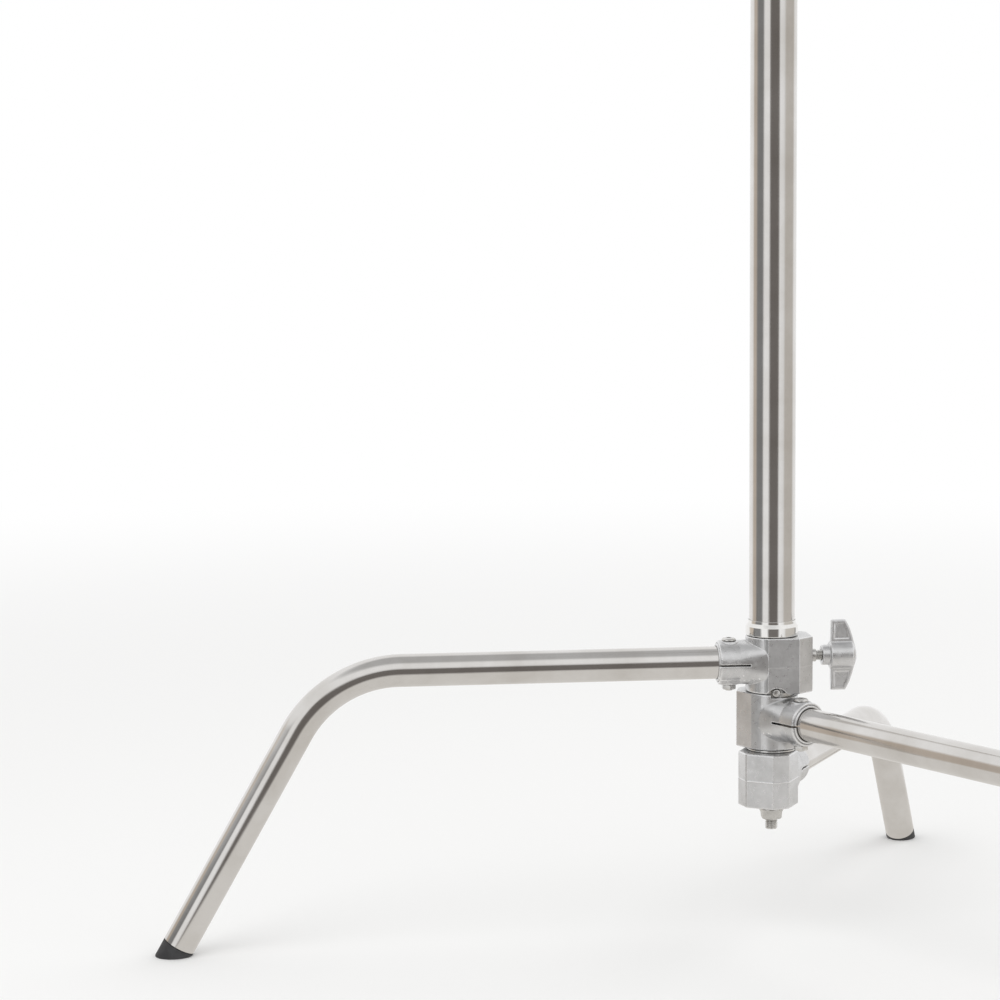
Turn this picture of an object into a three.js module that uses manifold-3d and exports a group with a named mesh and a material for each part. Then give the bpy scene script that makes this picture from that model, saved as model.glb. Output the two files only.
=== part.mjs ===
// A century stand (C-stand): a folding three-legged base with stacked die-cast leg
// collars, a removable 35 mm column and two telescoping risers with clamp knobs.
// Millimetres, +Z up. The origin is the lower end face of the centre stud, on the column
// axis. Heights below are measured up from the floor.
import * as THREE from 'three';
import { mergeVertices } from 'three/addons/utils/BufferGeometryUtils.js';
import Module from 'manifold-3d';

const wasm = await Module();
wasm.setup();

// ---------- driving dimensions ----------
const STUD_END_HEIGHT = 84;
const GAP = 0.3;
const FACETS = 28;

const HIGH_AXIS_HEIGHT = 214.5;
const MID_AXIS_HEIGHT = 171.5;
const LOW_AXIS_HEIGHT = 127;
const HIGH_AZIMUTH = 180;
const MID_AZIMUTH = 300;
const LOW_AZIMUTH = 59;

const LEG_RADIUS = 12.5;
const LEG_WALL = 1.5;
const LEG_DROOP = 0;
const LEG_SLOPE = 60.4;
const LEG_BEND_RADIUS = 91;
const LEG_BEND_STEPS = 7;
const HIGH_REACH = 460;
const MID_REACH = 403;
const LOW_REACH = 346;
const FOOT_RUBBER = 1.2;
const FOOT_PLUG = 16;

const HUB_RADIUS = 20.2;
const HUB_HALF_WIDTH = 20.6;
const HUB_BORE = 16.9;
const HUB_CHAMFER = 1;
const SLAB_BACK = 8;
const HUB_CORNER = [14, 15.6];
const SLAB_FRONT = 17.5;
const BLOCK_HALF_WIDTH = 11;
const TOP_BLOCK_FACE = 29.5;
const BLOCK_FACE = 27;
const SOCKET_ROOT_RADIUS = 19.4;
const SOCKET_RADIUS = 16.75;
const SOCKET_MOUTH = 42.3;
const SOCKET_FLOOR = 19;
const SLIT_START = 20.2;
const SLIT_WIDTH = 1.6;
const CROSS_BOLT_AT = 33.4;
const CROSS_BOLT_RADIUS = 3;
const BOSS_RADIUS = 7.5;
const BOSS_TOP = 16.6;

const TOP_CASTING = { low: 192, high: 235 };
const MID_CASTING = { low: 148.3, high: 191.6 };
const LOW_CASTING = { low: 104.5, high: 146.3 };
const LOW_WEB_TOP = 110.4;
const THRUST_WASHER = { low: 146.7, high: 147.9, radius: 19.3 };

const POST_OUTER = 16.5;
const POST_BORE = 14.4;
const POST = { floorLow: 111, floorHigh: 118, top: 233.6 };
const STUD_RADIUS = 4.8;
const NUT = { low: 92, hexHigh: 97, flangeHigh: 100.6, high: 104, hexRadius: 8.2, flangeRadius: 9.6,
  collarRadius: 8.6 };
const STOP_PIN_HEIGHT = 192.9;
const STOP_PIN_RADIUS = 3.4;
const STOP_GROOVE_DEPTH = 2.6;
const LOW_PIN_HEIGHT = 140.5;
const LOW_PIN_RADIUS = 2;
const MID_SWING = -120;
const LOW_SWING = 121;

const COLUMN_RADIUS = 17.5;
const RISER_1_RADIUS = 15;
const RISER_2_RADIUS = 12.5;
const TUBE_WALL = 1.5;
const RING = { low: 235.4, seat: 239, high: 246.6, radius: 20.2 };
const SPIGOT = { low: 122, step: 239.4, high: 285, radius: 14, bore: 11 };
const COLUMN_TOP = 1168;
const RISER_1 = { low: 300.4, high: 1226, bushLow: 292, bushHigh: 325 };
const RISER_2 = { low: 340.4, high: 1300, bushLow: 332, bushHigh: 362 };
const COLUMN_CLAMP = { low: 1136, seat: 1168.4, high: 1200.6, knob: 1184 };
const RISER_CLAMP = { low: 1201, seat: 1226.4, high: 1259, knob: 1242.5 };
const TOP_STUD = { plugLow: 1270, shoulder: 1303.5, high: 1345, radius: 7.95 };

const KNOB_HEIGHT = 218.4;
const KNOB_HOLE = 4.5;
const KNOB_NECK_AT = 9;
const KNOB_NECK_RADIUS = 7.7;
const KNOB_BARREL_AT = 15;
const KNOB_BARREL_RADIUS = 10.7;
const KNOB_END = 36.2;
const WING_HEIGHT = 27.2;
const WING_HALF_THICKNESS = 3;
const SCREW_RADIUS = 4;
const SHOE_LENGTH = 4.2;

// ---------- geometry helpers ----------
const rad = THREE.MathUtils.degToRad;

// A geometry as a closed solid, with its faces turned outwards.
function solid(geometry) {
  const bare = new THREE.BufferGeometry();
  bare.setAttribute('position', geometry.getAttribute('position').clone());
  if (geometry.index) bare.setIndex(geometry.index.clone());
  const merged = mergeVertices(bare, 1e-4);
  const mesh = { numProp: 3, vertProperties: merged.attributes.position.array };
  const triangles = new Uint32Array(merged.index.array);
  const made = new wasm.Manifold(new wasm.Mesh({ ...mesh, triVerts: triangles }));
  if (made.volume() > 0) return made;
  for (let i = 0; i < triangles.length; i += 3) {
    [triangles[i + 1], triangles[i + 2]] = [triangles[i + 2], triangles[i + 1]];
  }
  return new wasm.Manifold(new wasm.Mesh({ ...mesh, triVerts: triangles }));
}

// A solid of revolution about +Z from [radius, height] points.
function turned(points, segments = FACETS) {
  const profile = points.map(([r, h]) => new THREE.Vector2(r, h));
  return solid(new THREE.LatheGeometry(profile, segments).rotateX(Math.PI / 2));
}

// A ring of revolution: the profile closes on itself.
function ring(points, segments = FACETS) {
  return turned([...points, points[0]], segments);
}

function disc(radius, low, high, segments = FACETS) {
  return turned([[0, low], [radius, low], [radius, high], [0, high]], segments);
}

function pipe(inner, outer, low, high, segments = FACETS) {
  return ring([[inner, low], [outer, low], [outer, high], [inner, high]], segments);
}

function block(size, centre) {
  return solid(new THREE.BoxGeometry(...size).translate(...centre));
}

// A plan outline in XY raised between two heights, with chamfered rims.
function prism(points, low, high, chamfer = 0) {
  const outline = new THREE.Shape(points.map(([x, y]) => new THREE.Vector2(x, y)));
  const geometry = new THREE.ExtrudeGeometry(outline, {
    depth: high - low - 2 * chamfer,
    bevelEnabled: chamfer > 0,
    bevelThickness: chamfer,
    bevelSize: chamfer,
    bevelOffset: -chamfer,
    bevelSegments: 1,
  });
  return solid(geometry.translate(0, 0, low + chamfer));
}

// A wedge of a flat ring, from one angle to another in degrees.
function arcBlock(inner, outer, low, high, from, to) {
  const steps = Math.ceil(Math.abs(to - from) / 9);
  const points = [];
  for (let i = 0; i <= steps; i += 1) {
    const a = rad(from + ((to - from) * i) / steps);
    points.push([outer * Math.cos(a), outer * Math.sin(a)]);
  }
  for (let i = steps; i >= 0; i -= 1) {
    const a = rad(from + ((to - from) * i) / steps);
    points.push([inner * Math.cos(a), inner * Math.sin(a)]);
  }
  return prism(points, low, high);
}

// The solid turned so that its +Z axis points along +X.
function alongX(shape) {
  return shape.rotate([0, 90, 0]);
}

function meshOf(name, shape, material, parent) {
  const { numProp, vertProperties, triVerts } = shape.getMesh();
  const positions = new Float32Array((vertProperties.length / numProp) * 3);
  for (let i = 0; i < positions.length / 3; i += 1) {
    positions.set(vertProperties.subarray(i * numProp, i * numProp + 3), i * 3);
  }
  const geometry = new THREE.BufferGeometry();
  geometry.setAttribute('position', new THREE.BufferAttribute(positions, 3));
  geometry.setIndex(new THREE.BufferAttribute(new Uint32Array(triVerts), 1));
  geometry.computeVertexNormals();
  const mesh = new THREE.Mesh(geometry, material());
  mesh.name = name;
  parent.add(mesh);
  return mesh;
}

// ---------- materials ----------
const steel = (color, roughness) => () =>
  new THREE.MeshStandardMaterial({ color, roughness, metalness: 1, flatShading: true });
const tubeSteel = steel(0xc9c5bf, 0.26);
const chrome = steel(0xd6d6d6, 0.12);
const boltSteel = steel(0xb9bbbd, 0.35);
const castMetal = steel(0xb4b6b8, 0.5);
const brass = steel(0xb6944f, 0.4);
const rubber = () => new THREE.MeshStandardMaterial({ color: 0x17181a, roughness: 0.85 });
const nylon = () => new THREE.MeshStandardMaterial({ color: 0x2a2b2d, roughness: 0.6 });

// ---------- the bent leg ----------
// Everything in a leg frame: the leg runs out along +X, z = 0 is its axis height at the
// column axis, and the floor is `height` below.
const droop = rad(LEG_DROOP);
const slope = rad(LEG_SLOPE);

// Where the level run meets the slope that reaches the floor at `reach`.
function kneeOf(height, reach) {
  const run = (reach * Math.tan(slope) - height) / (Math.tan(slope) - Math.tan(droop));
  return new THREE.Vector3(run, 0, -run * Math.tan(droop));
}

class LegPath extends THREE.Curve {
  constructor(height, reach) {
    super();
    const knee = kneeOf(height, reach);
    const level = new THREE.Vector3(Math.cos(droop), 0, -Math.sin(droop));
    const down = new THREE.Vector3(Math.cos(slope), 0, -Math.sin(slope));
    const tangent = LEG_BEND_RADIUS * Math.tan((slope - droop) / 2);
    const foot = new THREE.Vector3(reach, 0, -height);
    const lift = (FOOT_RUBBER + LEG_RADIUS * Math.cos(slope)) / Math.sin(slope);
    this.start = level.clone().multiplyScalar(SOCKET_FLOOR + 0.6);
    this.bendStart = knee.clone().addScaledVector(level, -tangent);
    this.bendEnd = knee.clone().addScaledVector(down, tangent);
    this.end = foot.clone().addScaledVector(down, -lift);
    this.level = level;
    this.down = down;
    const inward = new THREE.Vector3(-Math.sin(droop), 0, -Math.cos(droop));
    this.centre = this.bendStart.clone().addScaledVector(inward, LEG_BEND_RADIUS);
  }

  // Equal steps of t: one straight step, the steps of the bend, one straight step.
  getPoint(t, target = new THREE.Vector3()) {
    const at = t * (LEG_BEND_STEPS + 2);
    if (at <= 1) return target.lerpVectors(this.start, this.bendStart, at);
    if (at >= LEG_BEND_STEPS + 1) {
      return target.lerpVectors(this.bendEnd, this.end, at - LEG_BEND_STEPS - 1);
    }
    const angle = droop + ((slope - droop) * (at - 1)) / LEG_BEND_STEPS;
    const out = new THREE.Vector3(Math.sin(angle), 0, Math.cos(angle));
    return target.copy(this.centre).addScaledVector(out, LEG_BEND_RADIUS);
  }

  getUtoTmapping(u) {
    return u;
  }
}

function legTube(path) {
  const outline = new THREE.Shape().absarc(0, 0, LEG_RADIUS, 0, Math.PI * 2);
  outline.holes.push(new THREE.Path().absarc(0, 0, LEG_RADIUS - LEG_WALL, 0, Math.PI * 2, true));
  const geometry = new THREE.ExtrudeGeometry(outline, {
    steps: LEG_BEND_STEPS + 2,
    curveSegments: 10,
    extrudePath: path,
    bevelEnabled: false,
  });
  const hole = disc(CROSS_BOLT_RADIUS + GAP, -20, 20, 12).translate([CROSS_BOLT_AT, 0, 0]);
  return solid(geometry).subtract(hole.rotate([0, LEG_DROOP, 0]));
}

// A rubber end: a plug in the tube and a wedge cut level with the floor.
function legFoot(path, height) {
  const plug = disc(LEG_RADIUS - LEG_WALL - GAP, -FOOT_PLUG, 2, 20);
  const wedge = disc(LEG_RADIUS, GAP, 40, 20);
  const turn = 90 + LEG_SLOPE;
  const cap = plug.add(wedge).rotate([0, turn, 0]).translate(path.end.toArray());
  return cap.subtract(block([200, 200, 100], [path.end.x, 0, -height - 50]));
}

function crossBolt() {
  const shank = disc(CROSS_BOLT_RADIUS, -21.6, BOSS_TOP + 0.8, 12);
  const head = turned(
    [[0, BOSS_TOP + GAP], [5.4, BOSS_TOP + GAP], [5.4, BOSS_TOP + 1.4], [4.1, BOSS_TOP + 2.5],
      [0, BOSS_TOP + 2.5]], 16);
  const key = disc(1.9, BOSS_TOP + 1.1, BOSS_TOP + 4, 6);
  return shank.add(head).subtract(key).translate([CROSS_BOLT_AT, 0, 0]);
}

function crossNut() {
  const hex = disc(5.7, -20.6, -BOSS_TOP - GAP, 6);
  return hex.subtract(disc(CROSS_BOLT_RADIUS + GAP, -30, 0, 12)).translate([CROSS_BOLT_AT, 0, 0]);
}

// ---------- the leg castings ----------
// A collar round the post: a hub with a flat clamping block behind and a split socket for
// the leg in front. `low` and `high` are heights from the leg axis.
function legCasting(low, high, face) {
  const plan = [
    HUB_CORNER, [SLAB_BACK, HUB_HALF_WIDTH], [-SLAB_FRONT, HUB_HALF_WIDTH], [-face, BLOCK_HALF_WIDTH],
    [-face, -BLOCK_HALF_WIDTH], [-SLAB_FRONT, -HUB_HALF_WIDTH], [SLAB_BACK, -HUB_HALF_WIDTH],
    [HUB_CORNER[0], -HUB_CORNER[1]],
  ];
  const c = HUB_CHAMFER;
  const hub = turned([[0, low], [HUB_RADIUS - c, low], [HUB_RADIUS, low + c],
    [HUB_RADIUS, high - c], [HUB_RADIUS - c, high], [0, high]]);
  const socket = turned([[0, 0], [SOCKET_ROOT_RADIUS, 0], [SOCKET_ROOT_RADIUS, 15],
    [18.4, 22], [SOCKET_RADIUS, 29], [SOCKET_RADIUS, SOCKET_MOUTH - 1.2],
    [SOCKET_RADIUS - 1, SOCKET_MOUTH], [0, SOCKET_MOUTH]], 24);
  const boss = disc(BOSS_RADIUS, -BOSS_TOP, BOSS_TOP, 16).translate([CROSS_BOLT_AT, 0, 0]);
  const arm = alongX(socket).add(boss).rotate([0, LEG_DROOP, 0]);

  const tubeHole = turned([[0, SOCKET_FLOOR], [LEG_RADIUS + GAP, SOCKET_FLOOR],
    [LEG_RADIUS + GAP, SOCKET_MOUTH - 1.2], [LEG_RADIUS + 1.6, SOCKET_MOUTH - 1.2],
    [LEG_RADIUS + 1.6, 60], [0, 60]], 24);
  const boltHole = disc(CROSS_BOLT_RADIUS + GAP, -30, 30, 12).translate([CROSS_BOLT_AT, 0, 0]);
  const slit = block([40, 60, SLIT_WIDTH], [SLIT_START + 20, 0, 0]);
  const slitEnd = disc(SLIT_WIDTH / 2, -30, 30, 8).rotate([90, 0, 0]).translate([SLIT_START, 0, 0]);
  const cuts = alongX(tubeHole).add(boltHole).add(slit).add(slitEnd).rotate([0, LEG_DROOP, 0]);

  return prism(plan, low, high, c).add(hub).add(arm)
    .subtract(disc(HUB_BORE, low - 5, high + 5))
    .subtract(cuts);
}

// ---------- knobs ----------
// A wing knob in a frame whose +X points out of the clamp; x = 0 is the clamp's face.
function wingKnob() {
  const body = turned([
    [0, KNOB_NECK_AT], [KNOB_NECK_RADIUS - 0.8, KNOB_NECK_AT], [KNOB_NECK_RADIUS, KNOB_NECK_AT + 0.8],
    [KNOB_NECK_RADIUS, KNOB_BARREL_AT - 0.6], [KNOB_BARREL_RADIUS - 1.6, KNOB_BARREL_AT],
    [KNOB_BARREL_RADIUS, KNOB_BARREL_AT + 3], [KNOB_BARREL_RADIUS, KNOB_END - 7],
    [KNOB_BARREL_RADIUS - 2, KNOB_END - 3], [KNOB_BARREL_RADIUS - 6, KNOB_END - 0.7],
    [0, KNOB_END]], 20);
  const inner = KNOB_BARREL_AT + 0.6;
  const outline = [];
  for (let i = 0; i <= 6; i += 1) {
    const z = (WING_HEIGHT * i) / 6;
    outline.push([KNOB_END - 0.6 - 7.2 * (z / WING_HEIGHT) ** 2, z]);
  }
  const upper = [...outline, [inner + 0.6, WING_HEIGHT]];
  const lower = upper.map(([x, z]) => [x, -z]).reverse();
  const wing = prism([...upper, ...lower.slice(0, -1)], -WING_HALF_THICKNESS,
    WING_HALF_THICKNESS, 0.8).rotate([90, 0, 0]);
  return alongX(body).add(wing)
    .subtract(alongX(disc(SCREW_RADIUS + GAP, KNOB_NECK_AT - 2, KNOB_BARREL_AT + 11, 16)));
}

function knobScrew(tip) {
  return alongX(turned([
    [0, tip], [SCREW_RADIUS - 0.8, tip], [SCREW_RADIUS, tip + 0.8],
    [SCREW_RADIUS, 0.8], [4.9, 1.2], [4.9, 4.6], [SCREW_RADIUS - 0.8, 5.4],
    [SCREW_RADIUS - 0.8, 7.2], [SCREW_RADIUS, 8], [SCREW_RADIUS, KNOB_BARREL_AT + 10],
    [0, KNOB_BARREL_AT + 10]], 16));
}

// A clamp set: knob, screw and shoe. `face` is the clamp face and `grip` the radius of the
// tube it presses on.
function addClampSet(prefix, face, grip, height, azimuth, parent) {
  const group = new THREE.Group();
  group.position.z = height;
  group.rotation.z = rad(azimuth);
  parent.add(group);
  const start = grip + 0.35;
  const shoe = alongX(disc(KNOB_HOLE - GAP, start, start + SHOE_LENGTH, 16));
  meshOf(`${prefix}_shoe`, shoe, brass, group);
  const screw = knobScrew(start + SHOE_LENGTH + GAP - face);
  meshOf(`${prefix}_knob_screw`, screw, boltSteel, group).position.x = face;
  meshOf(`${prefix}_knob_wing`, wingKnob(), castMetal, group).position.x = face;
}

// ---------- the stand ----------
const object = new THREE.Group();
const stand = new THREE.Group();
stand.position.z = -STUD_END_HEIGHT;
object.add(stand);

function addLeg(prefix, height, reach, azimuth, casting) {
  const group = new THREE.Group();
  group.position.z = height;
  group.rotation.z = rad(azimuth);
  stand.add(group);
  const path = new LegPath(height, reach);
  meshOf(`${prefix}_casting`, casting, castMetal, group);
  meshOf(`${prefix}_leg`, legTube(path), tubeSteel, group);
  meshOf(`${prefix}_leg_foot`, legFoot(path, height), rubber, group);
  meshOf(`${prefix}_leg_bolt`, crossBolt(), boltSteel, group).rotation.y = droop;
  meshOf(`${prefix}_leg_nut`, crossNut(), boltSteel, group).rotation.y = droop;
}

// High leg: fixed to the post. Its casting takes the base knob, and an arch in its lower
// rim, a quarter turn from the leg, shows the stop pin of the mid leg.
const top = { low: TOP_CASTING.low - HIGH_AXIS_HEIGHT, high: TOP_CASTING.high - HIGH_AXIS_HEIGHT };
const arch = disc(8.7, -30, 0, 24).rotate([90, 0, 0]).translate([0, HUB_BORE - 2, top.low - 4]);
const knobHole = alongX(disc(KNOB_HOLE, -40, -10, 16)).translate([0, 0, KNOB_HEIGHT - HIGH_AXIS_HEIGHT]);
addLeg('high', HIGH_AXIS_HEIGHT, HIGH_REACH, HIGH_AZIMUTH,
  legCasting(top.low, top.high, TOP_BLOCK_FACE).subtract(arch).subtract(knobHole));

// Mid leg: the groove in its top rim runs from the stop pin at rest, by the swing.
const mid = { low: MID_CASTING.low - MID_AXIS_HEIGHT, high: MID_CASTING.high - MID_AXIS_HEIGHT };
const pinAngle = Math.asin((STOP_PIN_RADIUS + 0.5) / HUB_BORE) / rad(1);
const midPin = 270 - MID_AZIMUTH;
const midGroove = arcBlock(HUB_BORE - 3, HUB_RADIUS + 5, mid.high - STOP_GROOVE_DEPTH, mid.high + 2,
  midPin - pinAngle, midPin - MID_SWING + pinAngle);
addLeg('mid', MID_AXIS_HEIGHT, MID_REACH, MID_AZIMUTH,
  legCasting(mid.low, mid.high, BLOCK_FACE).subtract(midGroove));

// Low leg: closed below by a web for the stud, with an inside groove for its stop pin.
const low = { low: LOW_CASTING.low - LOW_AXIS_HEIGHT, high: LOW_CASTING.high - LOW_AXIS_HEIGHT };
const lowPinAngle = Math.asin((LOW_PIN_RADIUS + 0.5) / HUB_BORE) / rad(1);
const lowPin = 270 - LOW_AZIMUTH;
const lowGroove = arcBlock(HUB_BORE - 3, HUB_BORE + 2, LOW_PIN_HEIGHT - LOW_AXIS_HEIGHT - 2.6,
  low.high + 2, lowPin - LOW_SWING - lowPinAngle, lowPin + lowPinAngle);
const web = disc(HUB_BORE + 0.6, low.low + 0.2, LOW_WEB_TOP - LOW_AXIS_HEIGHT)
  .subtract(disc(STUD_RADIUS + 0.5, -60, 0, 16));
addLeg('low', LOW_AXIS_HEIGHT, LOW_REACH, LOW_AZIMUTH,
  legCasting(low.low, low.high, BLOCK_FACE).add(web).subtract(lowGroove));

// Post: a cup for the column's spigot, with the threaded stud below.
const post = turned([
  [0, STUD_END_HEIGHT], [STUD_RADIUS - 0.8, STUD_END_HEIGHT], [STUD_RADIUS, STUD_END_HEIGHT + 0.8],
  [STUD_RADIUS, POST.floorLow], [POST_OUTER, POST.floorLow], [POST_OUTER, POST.top],
  [POST_BORE, POST.top], [POST_BORE, POST.floorHigh], [0, POST.floorHigh]]);
const radialHole = (radius, azimuth, height) =>
  alongX(disc(radius, 5, 30, 12)).rotate([0, 0, azimuth]).translate([0, 0, height]);
meshOf('base_post', post
  .subtract(radialHole(KNOB_HOLE, 0, KNOB_HEIGHT))
  .subtract(radialHole(STOP_PIN_RADIUS + GAP, 270, STOP_PIN_HEIGHT))
  .subtract(radialHole(LOW_PIN_RADIUS + GAP, 270, LOW_PIN_HEIGHT)), boltSteel, stand);

const stopPin = alongX(turned([[0, 14.9], [STOP_PIN_RADIUS, 14.9], [STOP_PIN_RADIUS, 18.6],
  [STOP_PIN_RADIUS - 0.7, 19.8], [0, 20.3]], 16));
const midStopPin = meshOf('mid_stop_pin', stopPin, chrome, stand);
midStopPin.position.z = STOP_PIN_HEIGHT;
midStopPin.rotation.z = rad(270);
const lowStopPin = meshOf('low_stop_pin', alongX(disc(LOW_PIN_RADIUS, 14.9, 18.5, 16)), boltSteel,
  stand);
lowStopPin.position.z = LOW_PIN_HEIGHT;
lowStopPin.rotation.z = rad(270);

meshOf('thrust_washer', pipe(HUB_BORE, THRUST_WASHER.radius, THRUST_WASHER.low,
  THRUST_WASHER.high), chrome, stand);

const nutHex = disc(NUT.hexRadius, NUT.low, NUT.hexHigh + 1, 6);
const nutFlange = turned([[0, NUT.hexHigh - 0.8], [NUT.hexRadius - 0.6, NUT.hexHigh - 0.8],
  [NUT.flangeRadius, NUT.hexHigh + 0.8], [NUT.flangeRadius, NUT.flangeHigh],
  [NUT.collarRadius, NUT.flangeHigh], [NUT.collarRadius, NUT.high], [0, NUT.high]], 20);
meshOf('flange_nut', nutHex.add(nutFlange).subtract(disc(STUD_RADIUS + GAP, 60, 130, 16)),
  boltSteel, stand);

addClampSet('base', TOP_BLOCK_FACE, SPIGOT.radius, KNOB_HEIGHT, 0, stand);

// Column: a spigot that drops into the post, a ring that carries the column on the top
// casting, and the tube.
meshOf('column_ring', ring([
  [SPIGOT.radius + GAP, RING.low], [RING.radius - 0.5, RING.low], [RING.radius, RING.low + 0.5],
  [RING.radius, RING.high - 3], [RING.radius - 1.6, RING.high - 1.6], [RING.radius - 1.6, RING.high],
  [COLUMN_RADIUS + GAP, RING.high], [COLUMN_RADIUS + GAP, RING.seat],
  [SPIGOT.radius + GAP, RING.seat]]), chrome, stand);
const columnBore = COLUMN_RADIUS - TUBE_WALL;
meshOf('column_spigot', ring([
  [SPIGOT.bore, SPIGOT.low], [SPIGOT.radius - 1, SPIGOT.low], [SPIGOT.radius, SPIGOT.low + 1.5],
  [SPIGOT.radius, SPIGOT.step], [columnBore - GAP, SPIGOT.step], [columnBore - GAP, SPIGOT.high],
  [SPIGOT.bore, SPIGOT.high]]), boltSteel, stand);
meshOf('column_tube', pipe(columnBore, COLUMN_RADIUS, SPIGOT.step, COLUMN_TOP), tubeSteel,
  stand);

// A riser clamp: it sleeves the tube below, guides the riser above and carries a knob.
function addClamp(prefix, clamp, below, above, azimuth) {
  const outer = below + 4.6;
  const neck = above + 5.4;
  const body = turned([[0, clamp.low], [outer - 1, clamp.low], [outer, clamp.low + 1],
    [outer, clamp.seat - 6], [outer - 1.5, clamp.seat - 3], [neck, clamp.seat],
    [neck, clamp.high - 1], [neck - 1, clamp.high], [0, clamp.high]]);
  const face = neck + 6.8;
  const half = BLOCK_HALF_WIDTH - 1;
  const reach = Math.min(14, clamp.high - clamp.knob - 1);
  const lug = prism([[0, neck - 1.5], [face - 7, neck - 1.5], [face, half], [face, -half],
    [face - 7, 1.5 - neck], [0, 1.5 - neck]], clamp.knob - reach, clamp.knob + reach, 1);
  const bores = disc(below + GAP, clamp.low - 5, clamp.seat)
    .add(disc(above + GAP + 0.05, clamp.low - 5, clamp.high + 5))
    .add(alongX(disc(KNOB_HOLE, 8, 50, 16)).translate([0, 0, clamp.knob]));
  const grub = clamp.low + 9;
  const grubHole = alongX(disc(2.3, 8, 50, 12)).rotate([0, 0, 180]).translate([0, 0, grub]);
  const casting = meshOf(`${prefix}_clamp`, body.add(lug).subtract(bores).subtract(grubHole),
    castMetal, stand);
  casting.rotation.z = rad(azimuth);
  const screw = alongX(disc(2, below + GAP, outer - 0.7, 12).subtract(disc(1, outer - 2, 60, 6)));
  const grubMesh = meshOf(`${prefix}_clamp_grub`, screw, boltSteel, stand);
  grubMesh.position.z = grub;
  grubMesh.rotation.z = rad(azimuth + 180);
  addClampSet(prefix, face, above, clamp.knob, azimuth, stand);
}

// A riser: a nylon bush that guides its lower end inside the tube below, and the tube.
function addRiser(prefix, riser, radius, outerBore) {
  const bore = radius - TUBE_WALL;
  meshOf(`${prefix}_bush`, ring([
    [bore - 3, riser.bushLow], [outerBore - GAP, riser.bushLow], [outerBore - GAP, riser.low - 0.4],
    [bore - GAP, riser.low - 0.4], [bore - GAP, riser.bushHigh], [bore - 3, riser.bushHigh]]),
  nylon, stand);
  meshOf(`${prefix}_tube`, pipe(bore, radius, riser.low, riser.high), tubeSteel, stand);
}

addClamp('column', COLUMN_CLAMP, COLUMN_RADIUS, RISER_1_RADIUS, 0);
addRiser('riser_1', RISER_1, RISER_1_RADIUS, columnBore);
addClamp('riser', RISER_CLAMP, RISER_1_RADIUS, RISER_2_RADIUS, 180);
addRiser('riser_2', RISER_2, RISER_2_RADIUS, RISER_1_RADIUS - TUBE_WALL);

// Top stud: a 16 mm spigot with a waist, plugged into the upper riser.
const plug = RISER_2_RADIUS - TUBE_WALL - GAP;
const waist = TOP_STUD.high - 16;
meshOf('top_stud', turned([
  [0, TOP_STUD.plugLow], [plug, TOP_STUD.plugLow], [plug, RISER_2.high + GAP],
  [RISER_2_RADIUS, RISER_2.high + GAP], [RISER_2_RADIUS, TOP_STUD.shoulder - 1],
  [RISER_2_RADIUS - 1, TOP_STUD.shoulder], [TOP_STUD.radius, TOP_STUD.shoulder],
  [TOP_STUD.radius, waist - 5], [TOP_STUD.radius - 1.6, waist - 3.5],
  [TOP_STUD.radius - 1.6, waist + 3.5], [TOP_STUD.radius, waist + 5],
  [TOP_STUD.radius, TOP_STUD.high - 1], [TOP_STUD.radius - 1, TOP_STUD.high],
  [0, TOP_STUD.high]], 24), chrome, stand);

export default object;
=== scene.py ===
"""C stand: fine visual pieces, materials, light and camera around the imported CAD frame."""
import math

import bpy
import numpy as np
from mathutils import Matrix, Vector


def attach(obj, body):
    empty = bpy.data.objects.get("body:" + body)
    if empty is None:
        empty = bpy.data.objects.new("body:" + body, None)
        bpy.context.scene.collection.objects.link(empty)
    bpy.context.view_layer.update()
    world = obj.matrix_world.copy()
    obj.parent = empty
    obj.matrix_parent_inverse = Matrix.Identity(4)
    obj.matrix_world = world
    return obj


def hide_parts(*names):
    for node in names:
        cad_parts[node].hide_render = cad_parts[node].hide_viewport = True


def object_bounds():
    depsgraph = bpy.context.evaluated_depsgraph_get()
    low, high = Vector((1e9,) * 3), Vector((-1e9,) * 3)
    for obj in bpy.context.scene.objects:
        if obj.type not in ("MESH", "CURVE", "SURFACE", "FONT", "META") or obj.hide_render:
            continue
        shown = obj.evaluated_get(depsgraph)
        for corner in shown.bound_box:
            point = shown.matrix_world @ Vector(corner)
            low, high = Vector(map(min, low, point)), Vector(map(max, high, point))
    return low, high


MM = 0.001
rad = math.radians

# ---------- dimensions in millimetres ----------
# _H is a height from the floor, _R a radius and _AZ an azimuth in degrees. Bands, posts, tubes and
# clamps are given by heights from the floor too.
STUD_END = 84
HIGH, MID, LOW = 214.5, 171.5, 127
HIGH_AZ, MID_AZ, LOW_AZ, PIN_AZ = 180, 300, 59, 270
MID_SWING, LOW_SWING = 120, 121
LEG_R, LEG_WALL = 12.5, 1.5
DROOP, SLOPE, BEND_R = rad(0), rad(60.4), 91
REACH, RUBBER = {"high": 460, "mid": 403, "low": 346}, 1.2
HUB_R, HUB_HALF, HUB_BORE, SOCKET_R = 20.2, 20.6, 16.9, 16.75
SOCKET_MOUTH, SOCKET_FLOOR, SLIT_START, LIP = 42.3, 19, 20.2, 0.9
LIP_R, SLIT_HALF, RIDGE_DROP, RIDGE_HALF = 14.5, 0.8, 1.8, 0.6
BOLT_AT, BOLT_HOLE_R, BOSS_R, BOSS_TOP = 33.4, 3.3, 7.6, 16.6
TOP_FACE, FACE = 29.5, 27
TOP_BAND, MID_BAND, LOW_BAND = (192, 235), (148.3, 191.6), (104.5, 146.3)
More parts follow.
